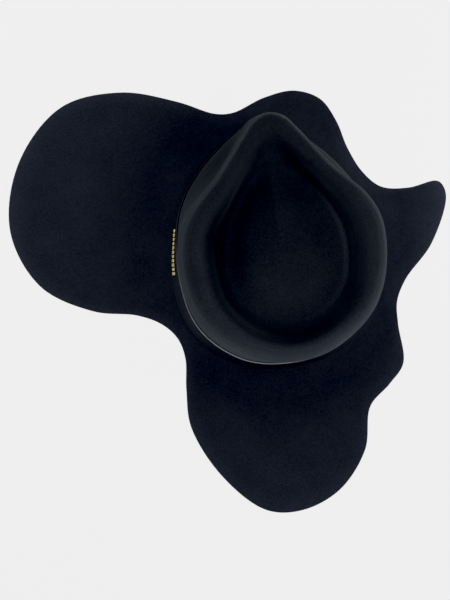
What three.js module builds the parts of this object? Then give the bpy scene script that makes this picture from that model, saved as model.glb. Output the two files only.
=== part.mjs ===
// A fedora of dark felt with a pinched teardrop crown and a flat brim cut to a free outline.
// Millimetres, +Z up. The brim lies flat at z = 0, its outline's box is centred on the origin,
// and the crown's front points along +Y, turned a little to the left.
import * as THREE from 'three';

// Head opening and felt
const HEAD_WIDTH = 159;
const HEAD_LENGTH = 195;
const FELT = 2;

// Crown
const CROWN_HEIGHT = 112;
const CROWN_TURN = 6.5;
const BREAK_RADIUS = 3;
const WALL_TAPER = 1;
const DENT_DEPTH = 30;
const DENT_DRIFT = 3;

// Brim
const BRIM_REACH = 148;

// Band and its row of plain bars
const CLEARANCE = 0.3;
const BAND_HEIGHT = 13;
const BAND_THICKNESS = 1;
const BAR_COUNT = 11;
const BAR_WIDTH = 2.7;
const BAR_PITCH = 3.6;
const BAR_HEIGHT = 7;
const BAR_THICKNESS = 1.1;
const BAR_FIRST_TURN = -74.5;

// Facets
const COLUMNS = 96;
const SECTION_STEPS = 2;
const OUTLINE_STEPS = 4;

const crownHalf = HEAD_WIDTH / 2 + FELT;
const crownHalfLength = HEAD_LENGTH / 2 + FELT;
const floorRise = CROWN_HEIGHT - DENT_DEPTH;
const bandBase = FELT + BREAK_RADIUS + CLEARANCE;
const bandTop = bandBase + BAND_HEIGHT;

// Crown sections, from the front (turn 0) round one side to the back (180); the other side
// mirrors them. Foot, hollow, brow, ridge, lip and corner are how far inside the head's oval
// the wall's foot, its hollow, the brow where it turns over, the ridge, the lip of the dent
// and the corner at the foot of the dent's wall lie, as shares of crownHalf. Names ending in
// Z are heights, as shares of CROWN_HEIGHT. In millimetres, flare is how much further out the
// foot stands under the band, and roll is how far the brow's bend reaches each way: a crease
// along the pinches, round elsewhere.
const SECTIONS = [
  { turn: 0, foot: -0.053, flare: 1, hollow: 0.035, brow: 0.1, browZ: 0.965, roll: 3.5,
    ridge: 0.2, ridgeZ: 1, lip: 0.3, lipZ: 0.97, corner: 0.545, cornerZ: 0.76 },
  { turn: 8, foot: -0.044, flare: 1, hollow: 0.047, brow: 0.147, browZ: 0.968, roll: 3.5,
    ridge: 0.238, ridgeZ: 0.997, lip: 0.34, lipZ: 0.97, corner: 0.545, cornerZ: 0.735 },
  { turn: 14, foot: -0.018, flare: 1, hollow: 0.131, brow: 0.225, browZ: 0.972, roll: 3.5,
    ridge: 0.315, ridgeZ: 0.993, lip: 0.405, lipZ: 0.967, corner: 0.548, cornerZ: 0.71 },
  { turn: 24, foot: 0.023, flare: 1, hollow: 0.237, brow: 0.3, browZ: 0.973, roll: 3.5,
    ridge: 0.385, ridgeZ: 0.989, lip: 0.462, lipZ: 0.963, corner: 0.548, cornerZ: 0.685 },
  { turn: 38, foot: 0.031, flare: 1, hollow: 0.26, brow: 0.329, browZ: 0.973, roll: 3,
    ridge: 0.402, ridgeZ: 0.985, lip: 0.475, lipZ: 0.957, corner: 0.538, cornerZ: 0.665 },
  { turn: 52, foot: 0.014, flare: 1, hollow: 0.206, brow: 0.284, browZ: 0.97, roll: 3,
    ridge: 0.36, ridgeZ: 0.985, lip: 0.445, lipZ: 0.954, corner: 0.514, cornerZ: 0.655 },
  { turn: 68, foot: 0.001, flare: 1.5, hollow: 0.112, brow: 0.181, browZ: 0.957, roll: 4,
    ridge: 0.265, ridgeZ: 0.985, lip: 0.368, lipZ: 0.953, corner: 0.482, cornerZ: 0.65 },
  { turn: 84, foot: 0.001, flare: 3.5, hollow: 0.047, brow: 0.098, browZ: 0.935, roll: 5,
    ridge: 0.19, ridgeZ: 0.98, lip: 0.29, lipZ: 0.948, corner: 0.453, cornerZ: 0.65 },
  { turn: 105, foot: -0.019, flare: 7.5, hollow: 0.011, brow: 0.058, browZ: 0.915, roll: 5,
    ridge: 0.15, ridgeZ: 0.968, lip: 0.27, lipZ: 0.935, corner: 0.417, cornerZ: 0.65 },
  { turn: 130, foot: -0.061, flare: 7.5, hollow: -0.012, brow: 0.045, browZ: 0.9, roll: 5,
    ridge: 0.135, ridgeZ: 0.953, lip: 0.24, lipZ: 0.92, corner: 0.385, cornerZ: 0.65 },
  { turn: 155, foot: -0.023, flare: 6, hollow: 0.046, brow: 0.098, browZ: 0.885, roll: 5,
    ridge: 0.185, ridgeZ: 0.942, lip: 0.265, lipZ: 0.908, corner: 0.41, cornerZ: 0.65 },
  { turn: 180, foot: 0.023, flare: 4, hollow: 0.077, brow: 0.114, browZ: 0.88, roll: 5,
    ridge: 0.205, ridgeZ: 0.937, lip: 0.275, lipZ: 0.903, corner: 0.43, cornerZ: 0.65 },
];

// Heights and insets between the table's lines
const WALL_HEIGHT_SHARE = 0.33;
const WALL_HOLLOW_SHARE = 0.2;
const HOLLOW_HEIGHT_SHARE = 0.66;
const DENT_MID_SHARE = 0.64;
const FLOOR_MID_SHARE = 0.55;
const FLOOR_MID_RISE_SHARE = 0.65;

// Brim edge, by turn clockwise from the crown's front. Reach is the edge's distance beyond
// the head's oval, as a share of BRIM_REACH.
const BRIM_EDGE = [
  // Rear of the left lobe and the inner corner behind it
  { turn: -172, reach: 0.859 },
  { turn: -161, reach: 0.71 },
  { turn: -149, reach: 0.519 },
  { turn: -142, reach: 0.352 },
  { turn: -135, reach: 0.221 },
  { turn: -127, reach: 0.182 },
  { turn: -118, reach: 0.217 },
  { turn: -110, reach: 0.325 },
  { turn: -103, reach: 0.557 },
  // Wide left lobe
  { turn: -93, reach: 0.825 },
  { turn: -80, reach: 0.982 },
  { turn: -65, reach: 0.994 },
  { turn: -50, reach: 0.888 },
  { turn: -38, reach: 0.65 },
  { turn: -27, reach: 0.38 },
  // Front
  { turn: -17, reach: 0.193 },
  { turn: -10, reach: 0.154 },
  { turn: 3, reach: 0.205 },
  { turn: 14, reach: 0.261 },
  { turn: 24, reach: 0.263 },
  { turn: 33, reach: 0.197 },
  { turn: 43, reach: 0.12 },
  // Narrow right front and the horn beside it
  { turn: 56, reach: 0.102 },
  { turn: 67, reach: 0.159 },
  { turn: 72.5, reach: 0.304 },
  { turn: 74, reach: 0.466 },
  { turn: 75.5, reach: 0.493 },
  { turn: 80, reach: 0.498 },
  { turn: 95, reach: 0.371 },
  { turn: 110, reach: 0.231 },
  // Right rear and the long tail
  { turn: 120, reach: 0.213 },
  { turn: 128, reach: 0.266 },
  { turn: 138, reach: 0.404 },
  { turn: 146, reach: 0.418 },
  { turn: 155, reach: 0.439 },
  { turn: 162, reach: 0.635 },
  { turn: 171, reach: 0.792 },
  { turn: 180, reach: 0.865 },
];

// Colours, roughness and metalness
const felt = new THREE.MeshStandardMaterial({ color: 0x161c2a, roughness: 0.95, metalness: 0 });
const leather = new THREE.MeshStandardMaterial({ color: 0x0b0d12, roughness: 0.6, metalness: 0 });
const gold = new THREE.MeshStandardMaterial({ color: 0xcaa24c, roughness: 0.3, metalness: 1 });

const radians = THREE.MathUtils.degToRad;

// The half table, its mirror image and one row beyond each end
const nextToBack = SECTIONS.at(-2);
const sectionsAround = [
  { ...nextToBack, turn: nextToBack.turn - 360 },
  ...SECTIONS.slice(1).reverse().map((row) => ({ ...row, turn: -row.turn })),
  ...SECTIONS,
  { ...nextToBack, turn: 360 - nextToBack.turn },
];

// One column of the table at a turn from -180 up to 180, on a smooth curve through its rows
function share(column, turn) {
  const next = sectionsAround.findIndex((row) => row.turn > turn);
  const [before, from, to, after] = sectionsAround.slice(next - 2, next + 2);
  const span = to.turn - from.turn;
  const t = (turn - from.turn) / span;
  const startSlope = ((to[column] - before[column]) / (to.turn - before.turn)) * span;
  const endSlope = ((after[column] - from[column]) / (after.turn - from.turn)) * span;
  const rise = to[column] - from[column];
  const bend = 3 * rise - 2 * startSlope - endSlope;
  const twist = startSlope + endSlope - 2 * rise;
  return from[column] + t * (startSlope + t * (bend + t * twist));
}

// Distance from the crown's centre to the oval that the head opening's felt follows
function ovalRadius(turn) {
  const angle = radians(turn);
  return 1 / Math.hypot(Math.sin(angle) / crownHalf, Math.cos(angle) / crownHalfLength);
}

// Distance to the outside of the wall's foot
function footRadius(turn) {
  return ovalRadius(turn) - crownHalf * share('foot', turn);
}

// A point at a turn clockwise from the crown's front, a distance out and a height
function around(turn, radius, height) {
  return new THREE.Vector3(radius * Math.sin(radians(turn)), radius * Math.cos(radians(turn)), height);
}

// The point a length along the line from one [radius, height] towards another
function towards([radius, height], [nextRadius, nextHeight], length) {
  const part = length / Math.hypot(nextRadius - radius, nextHeight - height);
  return [
    THREE.MathUtils.lerp(radius, nextRadius, part),
    THREE.MathUtils.lerp(height, nextHeight, part),
  ];
}

// The outside of the felt at one turn, from the brim up the wall, over the ridge and down
// into the dent as far as the crown's middle
function crownSection(turn) {
  const foot = footRadius(turn);
  const flaredFoot = foot + share('flare', turn);
  const drift = DENT_DRIFT * Math.sin(radians(turn));
  const inset = (column) => ovalRadius(turn) - crownHalf * share(column, turn);
  const height = (column) => CROWN_HEIGHT * share(column, turn);
  const halfBreak = BREAK_RADIUS * (1 - Math.SQRT1_2);
  const wall = THREE.MathUtils.lerp(foot, inset('hollow'), WALL_HOLLOW_SHARE) - WALL_TAPER;
  const hollow = [inset('hollow'), HOLLOW_HEIGHT_SHARE * CROWN_HEIGHT];
  const brow = [inset('brow'), height('browZ')];
  const ridge = [inset('ridge'), height('ridgeZ')];
  const lip = [inset('lip') + drift, height('lipZ')];
  const corner = [inset('corner') + drift, height('cornerZ')];
  const line = [
    [flaredFoot + BREAK_RADIUS, FELT],
    [flaredFoot + halfBreak, FELT + halfBreak],
    [flaredFoot, FELT + BREAK_RADIUS],
    [foot, bandTop],
    [wall, WALL_HEIGHT_SHARE * CROWN_HEIGHT],
    hollow,
    towards(brow, hollow, share('roll', turn)),
    towards(brow, ridge, share('roll', turn)),
    ridge,
    lip,
    [
      THREE.MathUtils.lerp(lip[0], corner[0], DENT_MID_SHARE),
      THREE.MathUtils.lerp(lip[1], corner[1], DENT_MID_SHARE),
    ],
    corner,
    [
      corner[0] * FLOOR_MID_SHARE,
      THREE.MathUtils.lerp(corner[1], floorRise, FLOOR_MID_RISE_SHARE),
    ],
    [0, floorRise],
  ];
  const curve = new THREE.CatmullRomCurve3(line.map(([radius, z]) => around(turn, radius, z)));
  return curve.getPoints(SECTION_STEPS * (line.length - 1));
}

const columnTurns = Array.from({ length: COLUMNS }, (_, column) => (360 * column) / COLUMNS - 180);

// The crown's outside as rings from the brim inwards; the last ring is the single middle point.
function outsideRings() {
  const sections = columnTurns.map(crownSection);
  return sections[0].map((_, row) => sections.map((section) => section[row]));
}

// The felt's other face: each point moved inwards by the felt's thickness, along the normal
// of the rings around it
function insideRings(rings) {
  const last = rings.length - 1;
  return rings.map((ring, row) => ring.map((point, column) => {
    if (row === 0 || row === last) return point.clone().setZ(point.z - FELT);
    const onward = rings[row + 1][column].clone().sub(rings[row - 1][column]);
    const left = ring[(column + COLUMNS - 1) % COLUMNS];
    const right = ring[(column + 1) % COLUMNS];
    const normal = onward.cross(right.clone().sub(left)).normalize();
    return point.clone().addScaledVector(normal, -FELT);
  }));
}

// The brim's edge, as a closed smooth curve through the table's points
function brimEdge() {
  const radius = ({ turn, reach }) => ovalRadius(turn) + reach * BRIM_REACH;
  const points = BRIM_EDGE.map((row) => around(row.turn, radius(row), 0));
  const edge = new THREE.CatmullRomCurve3(points, true);
  return edge.getPoints(OUTLINE_STEPS * points.length).slice(0, -1);
}

// A mesh under construction: rings of points, joined by triangles
class Shell {
  points = [];

  triangles = [];

  // Adds a ring and returns the numbers of its points.
  ring(points) {
    const first = this.points.length;
    this.points.push(...points);
    return points.map((_, index) => first + index);
  }

  // Joins two rings that run clockwise, with the lower one first for a face that looks out.
  wall(lower, upper) {
    lower.forEach((corner, index) => {
      const next = (index + 1) % lower.length;
      this.triangles.push(corner, upper[index], upper[next], corner, upper[next], lower[next]);
    });
  }

  // Closes a clockwise ring with a fan to one point, looking up.
  fan(ring, middle) {
    ring.forEach((corner, index) => {
      this.triangles.push(corner, middle, ring[(index + 1) % ring.length]);
    });
  }

  // Fills the flat space between an edge and a hole, looking up or down.
  plate(edge, hole, up) {
    const flat = (ring) => ring.map((index) => new THREE.Vector2().copy(this.points[index]));
    const numbers = [...edge, ...hole];
    for (const face of THREE.ShapeUtils.triangulateShape(flat(edge), [flat(hole)])) {
      const [a, b, c] = face.map((corner) => numbers[corner]);
      const [p, q, r] = [a, b, c].map((index) => this.points[index]);
      const facesUp = (q.x - p.x) * (r.y - p.y) > (q.y - p.y) * (r.x - p.x);
      this.triangles.push(...(facesUp === up ? [a, b, c] : [a, c, b]));
    }
  }

  geometry() {
    const geometry = new THREE.BufferGeometry().setFromPoints(this.points);
    geometry.setIndex(this.triangles);
    geometry.computeVertexNormals();
    return geometry;
  }
}

// Crown and brim, one piece of felt
function feltBody() {
  const shell = new Shell();
  const outside = outsideRings();
  const inside = insideRings(outside);
  const addRings = (rings) => rings.slice(0, -1).map((ring) => shell.ring(ring));
  const outerRings = addRings(outside);
  const innerRings = addRings(inside);
  const [top] = shell.ring([outside.at(-1)[0]]);
  const [underTop] = shell.ring([inside.at(-1)[0]]);
  for (let row = 1; row < outerRings.length; row += 1) {
    shell.wall(outerRings[row - 1], outerRings[row]);
    shell.wall(innerRings[row], innerRings[row - 1]);
  }
  shell.fan(outerRings.at(-1), top);
  shell.fan(innerRings.at(-1).toReversed(), underTop);
  const edge = brimEdge();
  const lowerEdge = shell.ring(edge);
  const upperEdge = shell.ring(edge.map((point) => point.clone().setZ(FELT)));
  shell.wall(lowerEdge, upperEdge);
  shell.plate(upperEdge, outerRings[0], true);
  shell.plate(lowerEdge, innerRings[0], false);
  const mesh = new THREE.Mesh(shell.geometry(), felt);
  mesh.name = 'felt_body';
  return mesh;
}

// The band, a closed strap round the wall's foot, flared as the foot is
function hatBand() {
  const shell = new Shell();
  const inner = CLEARANCE;
  const outer = CLEARANCE + BAND_THICKNESS;
  const corners = [[outer, 0], [outer, 1], [inner, 1], [inner, 0]];
  const rings = corners.map(([stand, rise]) => shell.ring(columnTurns.map((turn) => {
    const radius = footRadius(turn) + share('flare', turn) * (1 - rise) + stand;
    return around(turn, radius, BAND_HEIGHT * rise);
  })));
  rings.forEach((ring, index) => shell.wall(ring, rings[(index + 1) % rings.length]));
  const mesh = new THREE.Mesh(shell.geometry(), leather);
  mesh.name = 'hat_band';
  mesh.position.z = bandBase;
  return mesh;
}

// Distance to the outside of the band, half way up it
function bandRadius(turn) {
  return footRadius(turn) + share('flare', turn) / 2 + CLEARANCE + BAND_THICKNESS;
}

// Plain bars in a row on the band's left side, each flat against the band's flared face
function trimBars() {
  const bar = new THREE.BoxGeometry(BAR_WIDTH, BAR_THICKNESS, BAR_HEIGHT);
  const stand = CLEARANCE + BAR_THICKNESS / 2;
  let turn = BAR_FIRST_TURN;
  return Array.from({ length: BAR_COUNT }, (_, index) => {
    const lean = Math.atan(share('flare', turn) / BAND_HEIGHT);
    const height = bandBase + BAND_HEIGHT / 2 + stand * Math.sin(lean);
    const placeAt = (at) => around(at, bandRadius(at) + stand * Math.cos(lean), height);
    const place = placeAt(turn);
    const ahead = placeAt(turn + 1);
    const mesh = new THREE.Mesh(bar, gold);
    mesh.name = `trim_bar_${String(index + 1).padStart(2, '0')}`;
    mesh.position.copy(place);
    mesh.rotation.set(lean, 0, Math.atan2(ahead.y - place.y, ahead.x - place.x), 'ZYX');
    turn -= THREE.MathUtils.radToDeg(BAR_PITCH / place.setZ(0).length());
    return mesh;
  });
}

// The hat is turned about its crown, then moved so that the box of its outline is centred.
const hat = new THREE.Group();
hat.add(feltBody(), hatBand(), ...trimBars());
hat.rotation.z = radians(CROWN_TURN);
const upward = new THREE.Vector3(0, 0, 1);
const turnedEdge = brimEdge().map((point) => point.applyAxisAngle(upward, hat.rotation.z));
new THREE.Box3().setFromPoints(turnedEdge).getCenter(hat.position).negate();

const group = new THREE.Group();
group.name = 'fedora';
group.add(hat);

export default group;
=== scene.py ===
"""A dark felt fedora with a pinched teardrop crown and a flat brim cut to a free outline.

The felt, the band and the small gold bars are surfaces worked out with numpy from a few sizes, in
metres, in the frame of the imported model. The camera looks straight down.
"""
import logging
import math
from dataclasses import dataclass
from enum import Enum

import bpy
import numpy as np
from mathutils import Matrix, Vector


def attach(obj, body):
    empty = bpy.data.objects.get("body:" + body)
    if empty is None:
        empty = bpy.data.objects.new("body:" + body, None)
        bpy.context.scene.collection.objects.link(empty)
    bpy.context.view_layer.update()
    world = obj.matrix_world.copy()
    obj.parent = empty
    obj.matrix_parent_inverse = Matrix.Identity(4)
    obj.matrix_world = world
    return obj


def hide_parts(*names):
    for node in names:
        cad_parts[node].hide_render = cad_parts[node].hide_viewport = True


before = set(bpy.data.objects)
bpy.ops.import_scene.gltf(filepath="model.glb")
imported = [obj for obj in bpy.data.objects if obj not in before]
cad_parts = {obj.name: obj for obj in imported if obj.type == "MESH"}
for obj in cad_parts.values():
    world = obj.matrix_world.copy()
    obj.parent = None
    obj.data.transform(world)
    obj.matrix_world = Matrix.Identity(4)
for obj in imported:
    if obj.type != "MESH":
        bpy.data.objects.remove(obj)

LOG = logging.getLogger("fedora")
MM = 0.001
TINY = 1e-12
QUARTER = 90
HALF_TURN = 180
FULL_TURN = 360
WIDE_PANEL = (0.36, 0.2)
TOP_PANEL = (0.3, 0.3)
SMALL_PANEL = (0.2, 0.2)
# Name of the mesh colour that holds painted light and shade.
PAINTED_LIGHT = "painted_light"
Colour = tuple[float, float, float, float]
Point = tuple[float, float, float]


class Slot(Enum):
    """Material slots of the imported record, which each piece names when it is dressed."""

    FELT = "felt"
    BAND = "band"
    GOLD = "gold"


class Side(Enum):
    """Sides of the hat, by their turn in degrees clockwise from the front."""

    FRONT = 0
    RIGHT = 90
    BACK = 180
    LEFT = 270


@dataclass(frozen=True)
class Photograph:
    """The photograph's frame and the view that it was taken from.

    Pixels are counted from the top left corner. The scale holds at the brim's top face.
    """

    width: int = 450
    height: int = 600
    scale: float = 0.862 * MM
    outline_centre: tuple[float, float] = (227.5, 301.5)
    distance: float = 0.65
    sensor: float = 36.0

    def place(self, pixel: tuple[float, float]) -> tuple[float, float]:
        """Return the point of the brim's plane that a pixel shows.

        Args:
            pixel: Column and row of the photograph.

        Returns:
            x and y in metres, from the centre of the hat's outline.
        """
        right = (pixel[0] - self.outline_centre[0]) * self.scale
        up = (self.outline_centre[1] - pixel[1]) * self.scale
        return right, up

    def focal_length(self) -> float:
        """Return the lens length in millimetres that fits the frame's height at the brim."""
        return self.sensor * self.distance / (self.height * self.scale)


@dataclass(frozen=True)
class HatSizes:
    """Driving sizes of the hat, in metres and degrees."""

    head_width: float = 159 * MM
    head_length: float = 195 * MM
    felt: float = 2 * MM
    crown_height: float = 112 * MM
    crown_turn: float = 6.5
    break_radius: float = 3 * MM
    wall_taper: float = 1 * MM
    dent_depth: float = 30 * MM
    dent_drift: float = 3 * MM
    brim_reach: float = 148 * MM
    clearance: float = 0.3 * MM
    band_height: float = 13 * MM
    band_thickness: float = 1 * MM

    @property
    def crown_half(self) -> float:
        """Half the crown's width over the felt."""
        return self.head_width / 2 + self.felt

    @property
    def crown_half_length(self) -> float:
        """Half the crown's length over the felt."""
        return self.head_length / 2 + self.felt

    @property
    def band_base(self) -> float:
        """Height of the band's lower edge."""
        return self.felt + self.break_radius + self.clearance

    @property
    def band_top(self) -> float:
        """Height of the band's upper edge."""
        return self.band_base + self.band_height


@dataclass(frozen=True)
class CrownTable:
    """Crown sections from the front, turn 0, round one side to the back, 180 degrees.

    Foot, hollow, brow, ridge, lip and corner say how far inside the head's oval a line of the
    crown lies, as a share of the crown's half width. Names that end in rise are heights, as
    shares of the crown's height. In millimetres, flare is how much further out the foot stands
    under the band, and roll is how far the brow's bend reaches each way.
    """

    columns: tuple[str, ...] = (
        "turn", "foot", "flare", "hollow", "brow", "brow_rise", "roll",
        "ridge", "ridge_rise", "lip", "lip_rise", "corner", "corner_rise",
    )
    rows: tuple[tuple[float, ...], ...] = (
        (0, -0.053, 1, 0.035, 0.1, 0.965, 3.5, 0.2, 1, 0.3, 0.97, 0.545, 0.76),
        (8, -0.044, 1, 0.047, 0.147, 0.968, 3.5, 0.238, 0.997, 0.34, 0.97, 0.545, 0.735),
        (14, -0.018, 1, 0.131, 0.225, 0.972, 3.5, 0.315, 0.993, 0.405, 0.967, 0.548, 0.71),
        (24, 0.023, 1, 0.237, 0.3, 0.973, 3.5, 0.385, 0.989, 0.462, 0.963, 0.548, 0.685),
        (38, 0.031, 1, 0.26, 0.329, 0.973, 3, 0.402, 0.985, 0.475, 0.957, 0.538, 0.665),
        (52, 0.014, 1, 0.206, 0.284, 0.97, 3, 0.36, 0.985, 0.445, 0.954, 0.514, 0.655),
        (68, 0.001, 1.5, 0.112, 0.181, 0.957, 4, 0.265, 0.985, 0.368, 0.953, 0.482, 0.65),
        (84, 0.001, 3.5, 0.047, 0.098, 0.935, 5, 0.19, 0.98, 0.29, 0.948, 0.453, 0.65),
        (105, -0.019, 7.5, 0.011, 0.058, 0.915, 5, 0.15, 0.968, 0.27, 0.935, 0.417, 0.65),
        (130, -0.061, 7.5, -0.012, 0.045, 0.9, 5, 0.135, 0.953, 0.24, 0.92, 0.385, 0.65),
        (155, -0.023, 6, 0.046, 0.098, 0.885, 5, 0.185, 0.942, 0.265, 0.908, 0.41, 0.65),
        (180, 0.023, 4, 0.077, 0.114, 0.88, 5, 0.205, 0.937, 0.275, 0.903, 0.43, 0.65),
    )

    def share(self, column: str, turns: np.ndarray) -> np.ndarray:
        """Read one column at any turns, on a smooth curve through its rows.

        Between two rows the value is a cubic that takes, at each row, the slope of the line
        between that row's two neighbours. The half table is mirrored to the whole turn.

        Args:
            column: Name of the column.
            turns: Degrees clockwise from the front, from -180 to 180.

        Returns:
            The column's value for each turn.
        """
        table = np.array(self.rows, float)
        knots, values = table[:, 0], table[:, self.columns.index(column)]
        knots = np.concatenate([[-knots[1]], knots, [FULL_TURN - knots[-2]]])
        values = np.concatenate([[values[1]], values, [values[-2]]])
        slopes = (values[2:] - values[:-2]) / (knots[2:] - knots[:-2])
        side = np.abs(turns)
        row = np.clip(np.searchsorted(knots[1:-1], side, side="right") - 1, 0, len(slopes) - 2)
        span = knots[row + 2] - knots[row + 1]
        t = (side - knots[row + 1]) / span
        rise = values[row + 2] - values[row + 1]
        start, end = slopes[row] * span, slopes[row + 1] * span
        bend, twist = 3 * rise - 2 * start - end, start + end - 2 * rise
        return values[row + 1] + t * (start + t * (bend + t * twist))


@dataclass(frozen=True)
class PaintedLightTable:
    """Painted light and shade on the crown and the brim, as a scale of the felt's colour.

    A row's place is one of the crown's lines, counted from the brim, which may lie between two,
    or on the brim the metres beyond the head's oval. Its other values hold at the front, the
    right, the back and the left. The rows paint the ring's crest and crease lines lighter, the
    dent's walls darker, and the brim darker near the crown, where its shadow falls. Within the
    edge's reach of the cut edge the brim is paler, a painted light, by up to the edge's gain.
    """

    columns: tuple[str, ...] = ("place", "front", "right", "back", "left")
    crown_rows: tuple[tuple[float, ...], ...] = (
        (0, 0.85, 1.0, 0.95, 1.1),
        (2, 0.82, 1.0, 0.85, 0.95),
        (3, 0.5, 1.1, 1.6, 1.05),
        (4, 0.42, 1.1, 1.9, 1.0),
        (5, 0.42, 0.95, 1.6, 1.0),
        (5.8, 0.9, 1.1, 1.85, 1.1),
        (6.4, 1.7, 1.4, 2.1, 1.5),
        (7, 0.85, 0.9, 1.85, 0.96),
        (8, 0.88, 1.08, 1.5, 0.96),
        (8.6, 0.95, 1.1, 1.15, 1.12),
        (9, 1.0, 1.25, 0.84, 0.75),
        (9.5, 1.05, 1.3, 0.9, 0.5),
        (10, 1.12, 1.24, 1.08, 0.65),
        (10.5, 1.05, 1.15, 1.2, 0.85),
        (10.7, 1.1, 2.3, 1.15, 0.85),
        (10.9, 1.05, 1.1, 1.2, 0.93),
        (12, 0.92, 0.9, 1.08, 1.03),
        (13, 0.98, 0.98, 0.98, 0.98),
    )
    crown_tint: Point = (0.985, 1.0, 0.93)
    brim_rows: tuple[tuple[float, ...], ...] = (
        (0, 1.1, 1.25, 1.0, 1.38),
        (20 * MM, 0.93, 1.03, 0.84, 1.13),
        (35 * MM, 0.82, 0.92, 0.8, 0.97),
        (50 * MM, 0.89, 1.05, 0.9, 0.98),
        (85 * MM, 1.0, 1.2, 1.02, 1.02),
        (140 * MM, 1.02, 1.22, 1.04, 1.03),
    )
    edge_gain: float = 0.25
    edge_reach: float = 14 * MM

    def blended(
        self,
        rows: tuple[tuple[float, ...], ...],
        turns: np.ndarray,
        places: np.ndarray,
    ) -> np.ndarray:
        """Return a table's scale round the hat.

        Between two neighbouring sides the value follows half a cosine wave.

        Args:
            rows: Rows of a place and the values at the four sides.
            turns: Degrees clockwise from the front, one for each column.
            places: Places in the table's measure, with one column or as many as the turns.

        Returns:
            Array of the places, with the columns last.
        """
        table = dict(zip(self.columns, np.array(rows).T))
        scale = np.zeros(1)
        for side in Side:
            away = np.abs((turns - side.value + HALF_TURN) % FULL_TURN - HALF_TURN)
            share = (1 + np.cos(math.pi * np.minimum(away / QUARTER, 1))) / 2
            scale = scale + share * np.interp(places, table["place"], table[side.name.lower()])
        return scale

    def crown(self, turns: np.ndarray, lines: np.ndarray) -> np.ndarray:
        """Return the scale at places on the crown.

        Args:
            turns: Degrees clockwise from the front.
            lines: Places from the brim to the middle, as line numbers.

        Returns:
            Array of lines and turns.
        """
        return self.blended(self.crown_rows, turns, lines[:, None])

    def flat(self, turns: np.ndarray, out: np.ndarray, inward: np.ndarray) -> np.ndarray:
        """Return the scale on the brim.

        Args:
            turns: Degrees clockwise from the front.
            out: Metres beyond the head's oval at each point.
            inward: Metres from the cut edge at each point.

        Returns:
            Array of the rings' shape.
        """
        # Painted light: the brim is paler near its cut edge.
        paler = 1 + self.edge_gain * np.clip(1 - inward / self.edge_reach, 0, 1)
        return self.blended(self.brim_rows, turns, out) * paler


@dataclass(frozen=True)
class BrimTable:
    """The brim's edge by turn clockwise from the crown's front.

    Reach is the edge's distance beyond the head's oval, as a share of the brim's reach.
    """

    turn: tuple[float, ...] = (
        -172, -161, -149, -142, -135, -127, -118, -110, -103,
        -93, -80, -65, -50, -38, -27,
        -17, -10, 3, 14, 24, 33, 43,
        56, 67, 72.5, 74, 75.5, 80, 95, 110,
        120, 128, 138, 146, 155, 162, 171, 180,
    )
    reach: tuple[float, ...] = (
        0.859, 0.71, 0.519, 0.352, 0.221, 0.182, 0.217, 0.325, 0.557,
        0.825, 0.982, 0.994, 0.888, 0.65, 0.38,
        0.193, 0.154, 0.205, 0.261, 0.263, 0.197, 0.12,
        0.102, 0.159, 0.304, 0.466, 0.493, 0.498, 0.371, 0.231,
        0.213, 0.266, 0.404, 0.418, 0.439, 0.635, 0.792, 0.865,
    )


def smooth_path(points: np.ndarray, steps: int, closed: bool) -> np.ndarray:
    """Run a smooth curve through points, for many curves at once.

    The curve is a cubic between each two points. Its end slopes come from the neighbours,
    weighed by the square roots of the distances between them, so that it makes no loops.

    Args:
        points: Array of points, columns and three coordinates.
        steps: Steps between two points.
        closed: Whether the last point joins the first.

    Returns:
        Array of points along the curves, in the same form. A closed curve leaves out its
        repeated last point.
    """
    if closed:
        padded = np.concatenate([points[-1:], points, points[:2]])
    else:
        before = 2 * points[:1] - points[1:2]
        after = 2 * points[-1:] - points[-2:-1]
        padded = np.concatenate([before, points, after])
    knots = np.sqrt(np.linalg.norm(np.diff(padded, axis=0), axis=-1, keepdims=True))
    before, start, end, after = padded[:-3], padded[1:-2], padded[2:-1], padded[3:]
    gap0, gap1, gap2 = knots[:-2], knots[1:-1], knots[2:]
    leave = (start - before) / gap0 - (end - before) / (gap0 + gap1) + (end - start) / gap1
    arrive = (end - start) / gap1 - (after - start) / (gap1 + gap2) + (after - end) / gap2
    leave, arrive = leave * gap1, arrive * gap1
    t = (np.arange(steps) / steps)[None, :, None, None]
    first, last = start[:, None], end[:, None]
    bend = 3 * (last - first) - 2 * leave[:, None] - arrive[:, None]
    twist = leave[:, None] + arrive[:, None] - 2 * (last - first)
    curve = first + t * (leave[:, None] + t * (bend + t * twist))
    curve = curve.reshape(-1, *points.shape[1:])
    return curve if closed else np.concatenate([curve, points[-1:]])


def between(start: np.ndarray, end: np.ndarray, share: float) -> np.ndarray:
    """Return the value that lies a share of the way from one to another."""
    return start + (end - start) * share


def turns_of(points: np.ndarray) -> np.ndarray:
    """Return how far points lie clockwise from the crown's front, from -180 to 180 degrees."""
    return np.degrees(np.arctan2(points[..., 0], points[..., 1]))


def towards(start: np.ndarray, end: np.ndarray, length: np.ndarray) -> np.ndarray:
    """Return points a length along the lines from one row of points to another.

    Args:
        start: Array of two coordinates and points.
        end: Array of the same form.
        length: Metres for each point.

    Returns:
        Array of the same form.
    """
    return between(start, end, length / np.hypot(*(end - start)))


def surface_normals(rings: np.ndarray) -> np.ndarray:
    """Return unit normals of a grid of rings, across the lines to each point's neighbours.

    Args:
        rings: Array of rows, columns and three coordinates, whose columns close on themselves.

    Returns:
        Array of the same form.
    """
    onward = np.gradient(rings, axis=0)
    across = np.roll(rings, -1, axis=1) - np.roll(rings, 1, axis=1)
    normals = np.cross(onward, across)
    return normals / np.maximum(np.linalg.norm(normals, axis=-1, keepdims=True), TINY)


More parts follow.
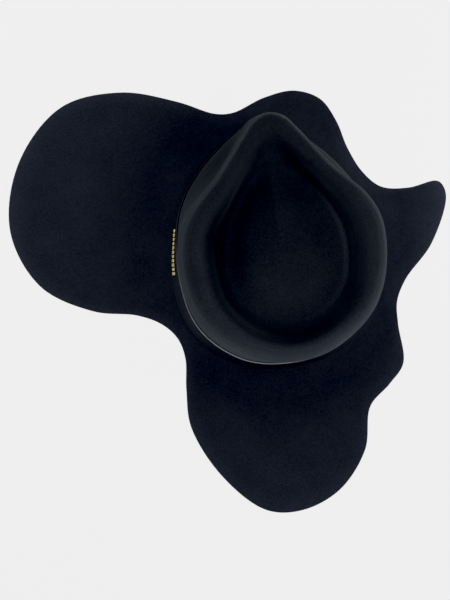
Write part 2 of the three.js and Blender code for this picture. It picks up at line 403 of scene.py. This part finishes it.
def build_piece(
    name: str,
    rings: np.ndarray,
    rows_close: bool,
    poles: np.ndarray | None = None,
) -> bpy.types.Object:
    """Make a smooth mesh object from a grid of rings.

    Points are numbered row by row. Each cell of the grid is one quad, and a fan of triangles
    closes the first and the last ring to a pole where poles are given. Faces point outwards where,
    seen from outside with the first row on top, the columns run to the left.

    Args:
        name: Name of the new object.
        rings: Array of rows, columns and three coordinates, whose columns close on themselves.
        rows_close: Whether the last row joins the first.
        poles: Two points that close the first and the last ring.

    Returns:
        The new object, linked to the scene.
    """
    rows, columns = rings.shape[:2]
    numbers = np.arange(rows * columns).reshape(rows, columns)
    upper = numbers if rows_close else numbers[:-1]
    lower = np.roll(numbers, -1, axis=0) if rows_close else numbers[1:]
    quads = np.stack([upper, np.roll(upper, -1, 1), np.roll(lower, -1, 1), lower], axis=-1)
    points = rings.reshape(-1, 3)
    faces = quads.reshape(-1, 4).tolist()
    if poles is not None:
        first, last = numbers[0], numbers[-1]
        top = np.full(columns, len(points))
        faces += np.stack([top, np.roll(first, -1), first], axis=-1).tolist()
        faces += np.stack([top + 1, last, np.roll(last, -1)], axis=-1).tolist()
        points = np.concatenate([points, poles])
    mesh = bpy.data.meshes.new(name)
    mesh.from_pydata(points.tolist(), [], faces)
    mesh.polygons.foreach_set("use_smooth", np.ones(len(faces), bool))
    mesh.update()
    piece = bpy.data.objects.new(name, mesh)
    bpy.context.scene.collection.objects.link(piece)
    return piece


def mark_painted_light(piece: bpy.types.Object, painted_light: np.ndarray) -> None:
    """Store painted light and shade, a colour for each point of a piece, which its material reads.

    Args:
        piece: The piece.
        painted_light: Red, green and blue for each of its points, in their order: painted light
            and shade on the felt, a pale edge with a painted highlight on the band.
    """
    colours = np.concatenate([painted_light, np.ones((len(painted_light), 1))], axis=1)
    store = piece.data.attributes.new(PAINTED_LIGHT, "FLOAT_COLOR", "POINT")
    store.data.foreach_set("color", colours.astype(np.float32).ravel())


def dress(piece: bpy.types.Object, material: bpy.types.Material, slot: Slot, *nodes: str) -> None:
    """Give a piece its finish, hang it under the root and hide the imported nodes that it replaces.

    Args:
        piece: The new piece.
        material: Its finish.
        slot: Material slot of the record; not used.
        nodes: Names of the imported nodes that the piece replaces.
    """
    piece.data.materials.append(material)
    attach(piece, "root")
    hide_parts(*nodes)
    LOG.info("%s: %d faces", piece.name, len(piece.data.polygons))


@dataclass
class HatForm:
    """The lines that all the hat's pieces follow, in the crown's own frame and in the scene's."""

    sizes: HatSizes = HatSizes()
    crown: CrownTable = CrownTable()
    brim: BrimTable = BrimTable()
    centring_steps: int = 4

    def __post_init__(self) -> None:
        """Find how far the turned hat moves to centre the box of its outline."""
        edge = self.turned(self.brim_edge(self.centring_steps))
        self.shift = (edge.min(axis=0) + edge.max(axis=0)) / 2

    def oval_radius(self, turns: np.ndarray) -> np.ndarray:
        """Return the distance to the head oval, an ellipse, at each turn.

        Args:
            turns: Degrees clockwise from the front.

        Returns:
            Metres from the crown's axis.
        """
        angles = np.radians(turns)
        wide, long = self.sizes.crown_half, self.sizes.crown_half_length
        return 1 / np.hypot(np.sin(angles) / wide, np.cos(angles) / long)

    def foot_radius(self, turns: np.ndarray) -> np.ndarray:
        """Return the distance to the wall's foot at each turn, at the band's upper edge."""
        return self.oval_radius(turns) - self.sizes.crown_half * self.crown.share("foot", turns)

    def flare(self, turns: np.ndarray) -> np.ndarray:
        """Return how much further out the wall's foot stands at the band's lower edge."""
        return self.crown.share("flare", turns) * MM

    def around(self, turns: np.ndarray, radius: np.ndarray, height: np.ndarray) -> np.ndarray:
        """Return points round the crown's axis.

        Args:
            turns: Degrees clockwise from the front.
            radius: Metres from the axis.
            height: Metres above the table.

        Returns:
            Array with three coordinates last.
        """
        angles = np.radians(turns)
        x, y = radius * np.sin(angles), radius * np.cos(angles)
        return np.stack(np.broadcast_arrays(x, y, height), -1)

    def brim_edge(self, steps: int) -> np.ndarray:
        """Return the brim's edge, a closed smooth curve through the table's points.

        Args:
            steps: Steps between two rows of the table.

        Returns:
            Points at height zero, clockwise.
        """
        turns, reach = np.array(self.brim.turn, float), np.array(self.brim.reach)
        radius = self.oval_radius(turns) + reach * self.sizes.brim_reach
        return smooth_path(self.around(turns, radius, 0.0)[:, None], steps, closed=True)[:, 0]

    def turned(self, points: np.ndarray) -> np.ndarray:
        """Turn points about the crown's axis, to the left by the crown's turn.

        Args:
            points: Array with three coordinates last.

        Returns:
            Array of the same form.
        """
        angle = math.radians(self.sizes.crown_turn)
        x, y = points[..., 0], points[..., 1]
        cosine, sine = math.cos(angle), math.sin(angle)
        return np.stack([x * cosine - y * sine, x * sine + y * cosine, points[..., 2]], -1)

    def placed(self, points: np.ndarray) -> np.ndarray:
        """Turn points and move them into the scene's frame."""
        return self.turned(points) - self.shift


@dataclass
class FeltShell:
    """Crown and brim, one closed skin round a piece of felt.

    A row of the crown's waves holds the radians for each metre along x, y and z, the phase and
    the wave's share of the unevenness.
    """

    form: HatForm
    # Painted light and shade, as a scale of the felt's colour.
    nap_and_painted_light: PaintedLightTable = PaintedLightTable()
    crown_steps: int = 5
    outline_steps: int = 12
    brim_rows: int = 16
    corner_rows: int = 4
    corner_radius: float = 0.7 * MM
    unevenness: float = 0.35 * MM
    crown_waves: tuple[tuple[float, ...], ...] = (
        (71, 23, 0, 1.3, 0.5),
        (29, -83, 0, 0.4, 0.5),
        (113, 0, 97, 2.1, 0.35),
    )
    waves_fade: float = 20 * MM
    brim_lift: float = 0.9 * MM
    lift_start: float = 25 * MM
    lift_waves: int = 3
    lift_phase: float = 40.0
    lift_side: float = 70.0
    wall_height_share: float = 0.33
    wall_hollow_share: float = 0.2
    hollow_height_share: float = 0.66
    dent_mid_share: float = 0.64
    floor_mid_share: float = 0.55
    floor_mid_rise_share: float = 0.65
    corner_rounding: float = 0.3

    def crown_lines(self, turns: np.ndarray) -> np.ndarray:
        """Return the lines that the crown's outside runs through, from the brim to the middle.

        Lines 0 to 2 round off the break from the brim, 3 is the band's upper edge, 4 and 5 are
        the wall and its hollow, 6 and 7 bend over the brow, 8 is the ridge and 9 the lip, 10 and
        11 are the dent's wall and its corner, and 12 and 13 are its floor and the middle.

        Args:
            turns: Degrees clockwise from the front.

        Returns:
            Array of lines, turns and three coordinates.
        """
        form, sizes, table = self.form, self.form.sizes, self.form.crown
        foot = form.foot_radius(turns)
        flared = foot + form.flare(turns)
        drift = sizes.dent_drift * np.sin(np.radians(turns))
        half_break = sizes.break_radius * (1 - math.sqrt(0.5))
        inset = {
            name: form.oval_radius(turns) - sizes.crown_half * table.share(name, turns)
            for name in ("hollow", "brow", "ridge", "lip", "corner")
        }
        rise = {
            name: sizes.crown_height * table.share(name + "_rise", turns)
            for name in ("brow", "ridge", "lip", "corner")
        }
        wall = foot + (inset["hollow"] - foot) * self.wall_hollow_share - sizes.wall_taper
        hollow = np.stack([inset["hollow"], 0 * foot + self.hollow_height_share * sizes.crown_height])
        brow, ridge = (np.stack([inset[name], rise[name]]) for name in ("brow", "ridge"))
        lip, corner = (np.stack([inset[name] + drift, rise[name]]) for name in ("lip", "corner"))
        middle = np.stack([0 * foot, 0 * foot + sizes.crown_height - sizes.dent_depth])
        roll = table.share("roll", turns) * MM
        dent = between(lip, corner, self.dent_mid_share)
        floor_rise = between(corner[1], middle[1], self.floor_mid_rise_share)
        floor = np.stack([corner[0] * self.floor_mid_share, floor_rise])
        rounded = between(corner, (dent + floor) / 2, self.corner_rounding)
        lines = (
            (flared + sizes.break_radius, sizes.felt),
            (flared + half_break, sizes.felt + half_break),
            (flared, sizes.felt + sizes.break_radius),
            (foot, sizes.band_top),
            (wall, self.wall_height_share * sizes.crown_height),
            hollow,
            towards(brow, hollow, roll),
            towards(brow, ridge, roll),
            ridge,
            lip,
            dent,
            rounded,
            floor,
            middle,
        )
        return np.stack([form.around(turns, radius, height) for radius, height in lines])

    def hand_blocked(self, points: np.ndarray) -> np.ndarray:
        """Return how far the felt stands off its form at each point.

        The value is a sum of three slow waves across the crown, at unlike slants, that fades
        to nothing at the crown's foot.

        Args:
            points: Array with three coordinates last.

        Returns:
            Metres, of either sign.
        """
        table = np.array(self.crown_waves)
        slopes, phases, shares = table[:, :3], table[:, 3], table[:, 4]
        waves = np.sin(points @ slopes.T + phases) @ shares
        fade = np.clip((points[..., 2] - self.form.sizes.band_top) / self.waves_fade, 0, 1)
        return self.unevenness * fade * waves

    def lift(self, points: np.ndarray) -> np.ndarray:
        """Return how far the brim rises off the table at each point.

        The rise is a slow wave round the crown that starts some way out from the foot and
        grows with the distance. It is never below zero.

        Args:
            points: Array with three coordinates last, in the crown's frame.

        Returns:
            Metres.
        """
        turns = turns_of(points)
        out = np.hypot(points[..., 0], points[..., 1]) - self.form.oval_radius(turns)
        grow = np.clip((out - self.lift_start) / self.form.sizes.brim_reach, 0, 1)
        ripple = np.sin(np.radians(self.lift_waves * turns + self.lift_phase))
        wave = 1 + ripple * np.cos(np.radians(turns - self.lift_side))
        return self.brim_lift * grow * wave

    def painted_light(self, edge: np.ndarray, crown_count: int, brim: np.ndarray) -> np.ndarray:
        """Return the painted light and shade, as a scale of the felt's colour at each point, in the
        mesh's order.

        Args:
            edge: The brim's edge, one point for each column.
            crown_count: Count of rows of the crown's outside.
            brim: The brim's rings.

        Returns:
            Red, green and blue for each point.
        """
        turns = turns_of(edge)
        lines = np.arange(crown_count) / self.crown_steps
        crown = self.nap_and_painted_light.crown(turns, lines)[..., None] * np.array(self.nap_and_painted_light.crown_tint)
        out = np.hypot(brim[..., 0], brim[..., 1]) - self.form.oval_radius(turns)
        inward = np.linalg.norm((brim - edge)[..., :2], axis=-1)
        flat = self.nap_and_painted_light.flat(turns, out, inward)[..., None] * np.ones(3)
        inside = np.ones((crown_count - 1, len(turns), 3))
        rows = np.concatenate([crown[-2::-1], flat, inside])
        return np.concatenate([rows.reshape(-1, 3), crown[-1, :1], inside[-1, :1]])

    def brim_rings(self, edge: np.ndarray, start: np.ndarray) -> np.ndarray:
        """Return the brim's rings, from the crown out over the top, round the edge and back.

        The top and the underside run straight from the break to the edge. The cut edge is
        upright, with a quarter circle at its upper and lower corner.

        Args:
            edge: The outline, at height zero.
            start: The ring where the brim leaves the crown, at height zero.

        Returns:
            Array of rings.
        """
        felt, radius = self.form.sizes.felt, self.corner_radius
        along = np.roll(edge, -1, axis=0) - np.roll(edge, 1, axis=0)
        outward = np.stack([-along[:, 1], along[:, 0], np.zeros(len(edge))], -1)
        outward /= np.linalg.norm(outward, axis=-1, keepdims=True)
        outward *= np.sign(np.sum(outward * edge))
        upward = np.array([0.0, 0.0, 1.0])
        share = (np.arange(1, self.brim_rows) / self.brim_rows)[:, None, None]
        flat = start + (edge - outward * radius - start) * share
        bend = np.linspace(0, math.pi / 2, self.corner_rows)[:, None, None]
        corner = edge - outward * radius * (1 - np.sin(bend))
        drop = radius * (1 - np.cos(bend)) * upward
        top = np.concatenate([flat + felt * upward, corner + felt * upward - drop])
        under = np.concatenate([flat, corner + drop])[::-1]
        return np.concatenate([top, under])

    def build(self, material: bpy.types.Material) -> bpy.types.Object:
        """Build the felt and dress it.

        The columns pass through the outline's points. The inside lies one felt thickness
        along the normals from the outside.

        Args:
            material: The felt's finish.

        Returns:
            The new piece.
        """
        edge = self.form.brim_edge(self.outline_steps)
        outside = smooth_path(self.crown_lines(turns_of(edge)), self.crown_steps, closed=False)
        normals = surface_normals(outside)
        normals[0], normals[-1] = (0, 0, 1), (0, 0, 1)
        outside = outside + normals * self.hand_blocked(outside)[..., None]
        inside = outside - normals * self.form.sizes.felt
        brim = self.brim_rings(edge, outside[0] * (1, 1, 0))
        brim[..., 2] += self.lift(brim)
        rings = np.concatenate([outside[-2::-1], brim, inside[:-1]])
        poles = np.stack([outside[-1, 0], inside[-1, 0]])
        piece = build_piece("felt_shell", self.form.placed(rings), False, self.form.placed(poles))
        # Painted light and shade: crest and creases lighter, dent walls and the brim round the crown
        # darker.
        mark_painted_light(piece, self.painted_light(edge, len(outside), brim))
        dress(piece, material, Slot.FELT, "felt_body")
        return piece


@dataclass
class HatBand:
    """A thin strap round the crown's foot, with rounded edges.

    Its upper edge is cut and pale, with a painted highlight that is brightest at the highlight
    turn, and the higher the narrowness the shorter the pale stretch.
    """

    form: HatForm
    columns: int = 480
    corner_points: int = 5
    corner_radius: float = 0.42 * MM
    highlight_turn: float = -155.0
    highlight_narrowness: int = 5

    def profile(self) -> tuple[np.ndarray, np.ndarray]:
        """Return the strap's cross-section, a rectangle with rounded corners.

        It is the outline of a smaller rectangle grown by the corner radius: each corner is a
        quarter circle about the smaller rectangle's own corner.

        Returns:
            Distances off the wall and heights, clockwise from the lower outer corner.
        """
        sizes, radius = self.form.sizes, self.corner_radius
        half_thick = sizes.band_thickness / 2 - radius
        half_high = sizes.band_height / 2 - radius
        quarter = np.linspace(0, math.pi / 2, self.corner_points)
        angles = -(np.arange(4)[:, None] * math.pi / 2 + quarter).ravel()
        side_x = np.repeat([1, -1, -1, 1], self.corner_points)
        side_z = np.repeat([-1, -1, 1, 1], self.corner_points)
        out = side_x * half_thick + radius * np.cos(angles)
        high = side_z * half_high + radius * np.sin(angles)
        middle = sizes.clearance + sizes.band_thickness / 2
        return out + middle, high + sizes.band_base + sizes.band_height / 2

    def build(self, material: bpy.types.Material) -> bpy.types.Object:
        """Carry the profile round the wall's foot and dress the strap.

        Args:
            material: The strap's finish.

        Returns:
            The new piece.
        """
        turns = FULL_TURN * np.arange(self.columns) / self.columns - HALF_TURN
        out, high = self.profile()
        sizes = self.form.sizes
        below = (sizes.band_top - high) / sizes.band_height
        wall = self.form.foot_radius(turns) + self.form.flare(turns) * below[:, None]
        radius = wall + out[:, None]
        rings = self.form.around(turns, radius, np.broadcast_to(high[:, None], radius.shape))
        piece = build_piece("band_strap", self.form.placed(rings), True)
        # Painted highlight: the cut upper edge is pale, and brightest round the lower left, where
        # light catches it.
        cut_and_highlight = high > sizes.band_top - self.corner_radius
        lighter = ((1 + np.cos(np.radians(turns - self.highlight_turn))) / 2) ** self.highlight_narrowness
        mark_painted_light(piece, (cut_and_highlight[:, None] * lighter).reshape(-1, 1) * np.ones(3))
        dress(piece, material, Slot.BAND, "hat_band")
        return piece


@dataclass
class TrimBars:
    """A row of plain gold bars on the band's left side.

    Turns are in degrees. The sighting is how far ahead a bar looks to stand along the band.
    """

    form: HatForm
    count: int = 11
    width: float = 2.7 * MM
    pitch: float = 3.6 * MM
    height: float = 4.6 * MM
    thickness: float = 1.1 * MM
    first_turn: float = -74.5
    sighting: float = 1.0
    roundness: float = 0.28
    rows: int = 20
    columns: int = 40

    def filled(self, wave: np.ndarray) -> np.ndarray:
        """Raise a sine or cosine to the bar's small power and keep its sign."""
        return np.sign(wave) * np.abs(wave) ** self.roundness

    def bar(self) -> tuple[np.ndarray, np.ndarray]:
        """Return one bar about its own middle, a box with well rounded edges.

        It is an ellipsoid whose sines and cosines are raised to a small power, which fills
        its corners out.

        Returns:
            Its rings, and the two poles that close them.
        """
        half = np.array([self.width, self.thickness, self.height]) / 2
        tilt = np.linspace(math.pi / 2, -math.pi / 2, self.rows + 2)[1:-1, None]
        spin = -2 * math.pi * np.arange(self.columns) / self.columns
        x = self.filled(np.cos(tilt)) * self.filled(np.cos(spin))
        y = self.filled(np.cos(tilt)) * self.filled(np.sin(spin))
        z = self.filled(np.sin(tilt)) + 0 * spin
        poles = np.array([[0, 0, 1.0], [0, 0, -1.0]])
        return np.stack([x, y, z], -1) * half, poles * half

    def build(self, material: bpy.types.Material) -> list[bpy.types.Object]:
        """Build the bars one after another along the band and dress them.

        Each bar stands at a turn, faces straight out of the band, and the next one is a pitch
        further round.

        Args:
            material: The bars' finish.

        Returns:
            The new pieces.
        """
        form, sizes = self.form, self.form.sizes
        rings, poles = self.bar()
        stand = sizes.clearance + self.thickness / 2
        turn, pieces = self.first_turn, []
        for number in range(1, self.count + 1):
            turns = np.array([turn, turn + self.sighting])
            flare = form.flare(turns)
            lean = math.atan(flare[0] / sizes.band_height)
            band = form.foot_radius(turns) + flare / 2 + sizes.clearance + sizes.band_thickness
            height = sizes.band_base + sizes.band_height / 2 + stand * math.sin(lean)
            place, ahead = form.around(turns, band + stand * math.cos(lean), height)
            along = (ahead - place) / np.linalg.norm(ahead - place)
            level = np.array([-along[1], along[0], 0.0])
            outward = level * math.cos(lean) + (0, 0, math.sin(lean))
            axes = np.stack([along, outward, np.cross(along, outward)])
            skin, ends = (form.placed(points @ axes + place) for points in (rings, poles))
            piece = build_piece(f"gold_bar_{number:02d}", skin, False, ends)
            dress(piece, material, Slot.GOLD, f"trim_bar_{number:02d}")
            pieces.append(piece)
            turn -= math.degrees(self.pitch / np.hypot(place[0], place[1]))
        return pieces


@dataclass(frozen=True)
class Cloud:
    """A cloudy noise, whose values from low to high are stretched to the span least to most.

    The scale is in cells for each metre.
    """

    scale: float
    detail: float = 2.0
    distortion: float = 0.0
    low: float = 0.0
    high: float = 1.0
    least: float = 0.0
    most: float = 1.0


@dataclass(frozen=True)
class Relief:
    """A fine height pattern: its noise, its depth and how strongly it bends the light."""

    cloud: Cloud
    depth: float
    strength: float


class Shader:
    """The shader nodes of one material, added and joined one at a time."""

    def __init__(self, name: str) -> None:
        """Start a material with a principled surface and object coordinates.

        Args:
            name: Name of the material.
        """
        self.material = bpy.data.materials.new(name)
        self.material.use_nodes = True
        self.tree = self.material.node_tree
        self.surface = self.tree.nodes["Principled BSDF"]
        self.place = self.add("ShaderNodeTexCoord").outputs["Object"]

    def add(self, kind: str, **inputs: object) -> bpy.types.Node:
        """Add a node and fill its inputs.

        Args:
            kind: Blender's name for the node.
            inputs: Values or sockets, by the input's name with underscores for spaces.

        Returns:
            The new node.
        """
        node = self.tree.nodes.new(kind)
        for name, value in inputs.items():
            self.feed(node.inputs[name.replace("_", " ")], value)
        return node

    def feed(self, socket: bpy.types.NodeSocket, value: object) -> None:
        """Set an input to a value, or join it to another node's output.

        Args:
            socket: The input.
            value: A number, a colour or an output.
        """
        if isinstance(value, bpy.types.NodeSocket):
            self.tree.links.new(value, socket)
        else:
            socket.default_value = value

    def noise(self, cloud: Cloud) -> bpy.types.NodeSocket:
        """Return a cloud's values as they come, before they are stretched.

        Args:
            cloud: The noise.

        Returns:
            The output that carries them.
        """
        node = self.add("ShaderNodeTexNoise", Vector=self.place, Scale=cloud.scale)
        node.inputs["Detail"].default_value = cloud.detail
        node.inputs["Distortion"].default_value = cloud.distortion
        return node.outputs["Fac"]

    def spread(self, value: bpy.types.NodeSocket, cloud: Cloud) -> bpy.types.NodeSocket:
        """Stretch a value from a cloud's old span to its new one, and hold it within that.

        Args:
            value: The output to stretch.
            cloud: The noise that gives both spans.

        Returns:
            The output that carries the stretched value.
        """
        node = self.add("ShaderNodeMapRange", Value=value, From_Min=cloud.low, From_Max=cloud.high)
        node.inputs["To Min"].default_value = cloud.least
        node.inputs["To Max"].default_value = cloud.most
        return node.outputs["Result"]

    def cloudy(self, cloud: Cloud) -> bpy.types.NodeSocket:
        """Return a cloud's stretched values."""
        return self.spread(self.noise(cloud), cloud)

    def blend(
        self,
        share: bpy.types.NodeSocket,
        first: Colour,
        second: Colour,
    ) -> bpy.types.NodeSocket:
        """Mix two colours.

        Args:
            share: The second colour's share, from 0 to 1.
            first: The first colour.
            second: The second colour.

        Returns:
            The output that carries the mixed colour.
        """
        node = self.tree.nodes.new("ShaderNodeMix")
        node.data_type = "RGBA"
        self.feed(node.inputs["Factor"], share)
        self.feed(node.inputs["A"], first)
        self.feed(node.inputs["B"], second)
        return node.outputs["Result"]

    def attribute(self, name: str, output: str) -> bpy.types.NodeSocket:
        """Return what the piece's mesh carries at each of its points.

        Args:
            name: Name of the mesh's attribute.
            output: Color for its three values, or Fac for their mean.

        Returns:
            The output that carries it.
        """
        node = self.add("ShaderNodeAttribute")
        node.attribute_name = name
        return node.outputs[output]

    def multiply(
        self,
        first: bpy.types.NodeSocket,
        second: bpy.types.NodeSocket,
    ) -> bpy.types.NodeSocket:
        """Multiply two colours, channel by channel.

        Args:
            first: One colour.
            second: The other.

        Returns:
            The output that carries the product.
        """
        node = self.tree.nodes.new("ShaderNodeVectorMath")
        node.operation = "MULTIPLY"
        self.feed(node.inputs[0], first)
        self.feed(node.inputs[1], second)
        return node.outputs["Vector"]

    def total(
        self,
        first: bpy.types.NodeSocket,
        second: bpy.types.NodeSocket,
    ) -> bpy.types.NodeSocket:
        """Add two values.

        Args:
            first: One value.
            second: The other.

        Returns:
            The output that carries the sum.
        """
        node = self.tree.nodes.new("ShaderNodeMath")
        node.operation = "ADD"
        self.feed(node.inputs[0], first)
        self.feed(node.inputs[1], second)
        return node.outputs["Value"]

    def bump(
        self,
        height: bpy.types.NodeSocket,
        depth: float,
        strength: float,
        below: bpy.types.NodeSocket | None = None,
    ) -> bpy.types.NodeSocket:
        """Raise the surface by a height pattern.

        Args:
            height: The pattern, from 0 to 1.
            depth: Metres from its lowest to its highest place.
            strength: How much of its slope is used.
            below: Another bump that this one lies on.

        Returns:
            The output that carries the bent normal.
        """
        node = self.add("ShaderNodeBump", Height=height, Distance=depth, Strength=strength)
        if below is not None:
            self.feed(node.inputs["Normal"], below)
        return node.outputs["Normal"]

    def raised(
        self,
        relief: Relief,
        below: bpy.types.NodeSocket | None = None,
    ) -> bpy.types.NodeSocket:
        """Raise the surface by a relief's noise, over another bump where one is given."""
        return self.bump(self.noise(relief.cloud), relief.depth, relief.strength, below)

    def set(self, **inputs: object) -> None:
        """Fill inputs of the principled surface.

        Args:
            inputs: Values or sockets, by the input's name with underscores for spaces.
        """
        for name, value in inputs.items():
            self.feed(self.surface.inputs[name.replace("_", " ")], value)


@dataclass(frozen=True)
class FeltFinish:
    """Brushed felt: a dark body colour, a matted nap and a faint bloom where it is seen aslant."""

    deep: Colour = (0.0134, 0.015, 0.02, 1.0)
    paler: Colour = (0.0238, 0.0257, 0.0334, 1.0)
    bloom: Colour = (0.82, 0.92, 1.0, 1.0)
    bloom_weight: float = 0.06
    bloom_roughness: float = 0.4
    roughness: float = 1.0
    patches: Cloud = Cloud(scale=34.0, detail=3.0, low=0.35, high=0.68, most=0.2)
    mottle: Cloud = Cloud(
        scale=700.0, detail=4.0, distortion=0.8, low=0.3, high=0.7, least=0.1, most=0.7,
    )
    nap_and_painted_light: Relief = Relief(Cloud(scale=1700.0, detail=3.0, distortion=1.2), 0.25 * MM, 0.3)
    tufts: Relief = Relief(Cloud(scale=700.0, detail=3.0, distortion=0.6), 0.35 * MM, 0.2)

    def material(self) -> bpy.types.Material:
        """Build the felt's material.

        Two noises, slow patches and fine mottling, choose between the deep and the paler
        colour, and the painted light and shade stored on the felt scales it. Two finer noises raise
        the nap.

        Returns:
            The material.
        """
        shader = Shader("brushed_felt")
        both = shader.total(shader.cloudy(self.patches), shader.cloudy(self.mottle))
        colour = shader.blend(both, self.deep, self.paler)
        # The colour is scaled by the painted light and shade that the mesh carries.
        shaded = shader.multiply(colour, shader.attribute(PAINTED_LIGHT, "Color"))
        fuzz = shader.raised(self.tufts, shader.raised(self.nap_and_painted_light))
        shader.set(Base_Color=shaded, Roughness=self.roughness, Specular_IOR_Level=0.0, Normal=fuzz)
        shader.set(Sheen_Weight=self.bloom_weight, Sheen_Roughness=self.bloom_roughness)
        shader.set(Sheen_Tint=self.bloom)
        return shader.material


@dataclass(frozen=True)
class LeatherFinish:
    """Smooth black leather with a fine grain, paler along its cut upper edge, partly a painted
    highlight.
    """

    colour: Colour = (0.015, 0.017, 0.023, 1.0)
    cut_and_highlight: Colour = (0.22, 0.232, 0.245, 1.0)
    shine: float = 0.1
    gloss: Cloud = Cloud(scale=300.0, low=0.3, high=0.7, least=0.55, most=0.7)
    grain: Relief = Relief(Cloud(scale=900.0, high=0.6), 0.06 * MM, 0.4)

    def material(self) -> bpy.types.Material:
        """Build the leather's material.

        Cells give the grain, which shows in the bump, and the piece's own mark of its cut edge, a
        pale edge with a painted highlight, chooses the colour.

        Returns:
            The material.
        """
        shader = Shader("band_leather")
        cells = shader.add("ShaderNodeTexVoronoi", Vector=shader.place, Scale=self.grain.cloud.scale)
        height = shader.spread(cells.outputs["Distance"], self.grain.cloud)
        colour = shader.blend(shader.attribute(PAINTED_LIGHT, "Fac"), self.colour, self.cut_and_highlight)
        shader.set(Base_Color=colour, Roughness=shader.cloudy(self.gloss))
        shader.set(Specular_IOR_Level=self.shine)
        shader.set(Normal=shader.bump(height, self.grain.depth, self.grain.strength))
        return shader.material


@dataclass(frozen=True)
class GoldFinish:
    """Polished gold plate with faint rub marks."""

    colour: Colour = (0.83, 0.61, 0.25, 1.0)
    lighter: Colour = (0.93, 0.76, 0.44, 1.0)
    metal: float = 0.72
    rub: Cloud = Cloud(scale=700.0, detail=3.0, low=0.35, high=0.7)
    gloss: Cloud = Cloud(scale=1500.0, detail=3.0, low=0.3, high=0.7, least=0.35, most=0.5)

    def material(self) -> bpy.types.Material:
        """Build the gold's material, whose tint and gloss drift with a fine noise.

        Returns:
            The material.
        """
        shader = Shader("polished_gold")
        colour = shader.blend(shader.cloudy(self.rub), self.colour, self.lighter)
        shader.set(Base_Color=colour, Roughness=shader.cloudy(self.gloss), Metallic=self.metal)
        return shader.material


@dataclass(frozen=True)
class FloorFinish:
    """Plain pale paper under the hat, lit evenly from behind like a light table."""

    colour: Colour = (0.02, 0.02, 0.02, 1.0)
    glow: Colour = (1.0, 1.0, 1.0, 1.0)
    glow_strength: float = 0.842
    roughness: float = 0.9

    def material(self) -> bpy.types.Material:
        """Build the floor's matt, glowing material.

        Returns:
            The material.
        """
        shader = Shader("pale_floor")
        shader.set(Base_Color=self.colour, Roughness=self.roughness, Specular_IOR_Level=0.0)
        shader.set(Emission_Color=self.glow, Emission_Strength=self.glow_strength)
        return shader.material


@dataclass(frozen=True)
class Lamp:
    """One soft panel of the light tent round the hat."""

    name: str
    place: Point
    facing: Point
    size: tuple[float, float]
    power: float

    def build(self) -> None:
        """Add the panel, turned to the side that it faces and hidden from the camera."""
        data = bpy.data.lights.new(self.name, "AREA")
        data.shape, data.energy = "RECTANGLE", self.power
        data.size, data.size_y = self.size
        lamp = bpy.data.objects.new(self.name, data)
        lamp.location = self.place
        lamp.rotation_euler = Vector(self.facing).to_track_quat("-Z", "Y").to_euler()
        lamp.visible_camera = False
        bpy.context.scene.collection.objects.link(lamp)


@dataclass
class Studio:
    """Pale floor, a tent of soft light panels and the camera straight above."""

    photo: Photograph
    felt: float
    floor_half: float = 4.0
    floor_drop: float = 0.2 * MM
    sky: Colour = (0.93, 0.96, 1.0, 1.0)
    sky_strength: float = 0.42
    black_level: float = 0.014
    lamps: tuple[Lamp, ...] = (
        Lamp("low_right", (0.359, 0.359, 0.12), (-1, -1, 0), WIDE_PANEL, 0.35),
        Lamp("low_side", (0.42, 0.1, 0.12), (-1, 0, 0), SMALL_PANEL, 0.85),
        Lamp("low_far", (-0.46, 0.02, 0.12), (1, 0, 0), WIDE_PANEL, 0.8),
        Lamp("low_left", (-0.319, 0.359, 0.32), (1, -1, -0.7), WIDE_PANEL, 0.85),
        Lamp("high_front", (0.02, 0.5, 0.55), (0, -1, -0.5), WIDE_PANEL, 0.38),
        Lamp("high_back", (0.02, -0.46, 0.55), (0, 1, -0.5), WIDE_PANEL, 0.51),
        Lamp("high_right", (0.359, -0.319, 0.55), (-1, 1, -0.7), WIDE_PANEL, 0.63),
        Lamp("top_front", (0.0, 0.3, 0.75), (0, 0, -1), TOP_PANEL, 0.23),
        Lamp("top_back", (0.3, -0.3, 0.75), (0, 0, -1), TOP_PANEL, 1.35),
        Lamp("top_right", (0.3, 0.0, 0.75), (0, 0, -1), TOP_PANEL, 0.85),
    )

    def build_floor(self) -> None:
        """Lay the floor just below the brim, a wide square of paper."""
        half, low = self.floor_half, -self.floor_drop
        corners = [(-half, -half, low), (half, -half, low), (half, half, low), (-half, half, low)]
        mesh = bpy.data.meshes.new("floor")
        mesh.from_pydata(corners, [], [(0, 1, 2, 3)])
        mesh.materials.append(FloorFinish().material())
        floor = bpy.data.objects.new("floor", mesh)
        bpy.context.scene.collection.objects.link(floor)

    def build_light(self) -> None:
        """Set a faint sky and the panels."""
        world = bpy.data.worlds.new("studio")
        world.use_nodes = True
        background = world.node_tree.nodes["Background"]
        background.inputs["Color"].default_value = self.sky
        background.inputs["Strength"].default_value = self.sky_strength
        bpy.context.scene.world = world
        for lamp in self.lamps:
            lamp.build()

    def build_camera(self) -> None:
        """Hang the camera over the photograph's middle, with the hat's front at the top."""
        middle = (self.photo.width / 2, self.photo.height / 2)
        data = bpy.data.cameras.new("overhead")
        data.sensor_width = self.photo.sensor
        data.lens = self.photo.focal_length()
        camera = bpy.data.objects.new("overhead", data)
        camera.location = (*self.photo.place(middle), self.photo.distance + self.felt)
        bpy.context.scene.collection.objects.link(camera)
        bpy.context.scene.camera = camera

    def set_exposure(self) -> None:
        """Show colours as they are, with the deep blacks of the photograph."""
        view = bpy.context.scene.view_settings
        view.view_transform, view.look = "Standard", "None"
        view.use_curve_mapping = True
        view.curve_mapping.black_level = (self.black_level,) * 3
        view.curve_mapping.update()

    def build(self) -> None:
        """Build the whole studio."""
        self.build_floor()
        self.build_light()
        self.build_camera()
        self.set_exposure()


def main() -> None:
    """Build the hat and its studio."""
    logging.basicConfig(level=logging.INFO, format="%(name)s %(message)s")
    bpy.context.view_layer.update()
    form = HatForm()
    Studio(Photograph(), form.sizes.felt).build()
    FeltShell(form).build(FeltFinish().material())
    HatBand(form).build(LeatherFinish().material())
    TrimBars(form).build(GoldFinish().material())


if __name__ == "__main__":
    main()
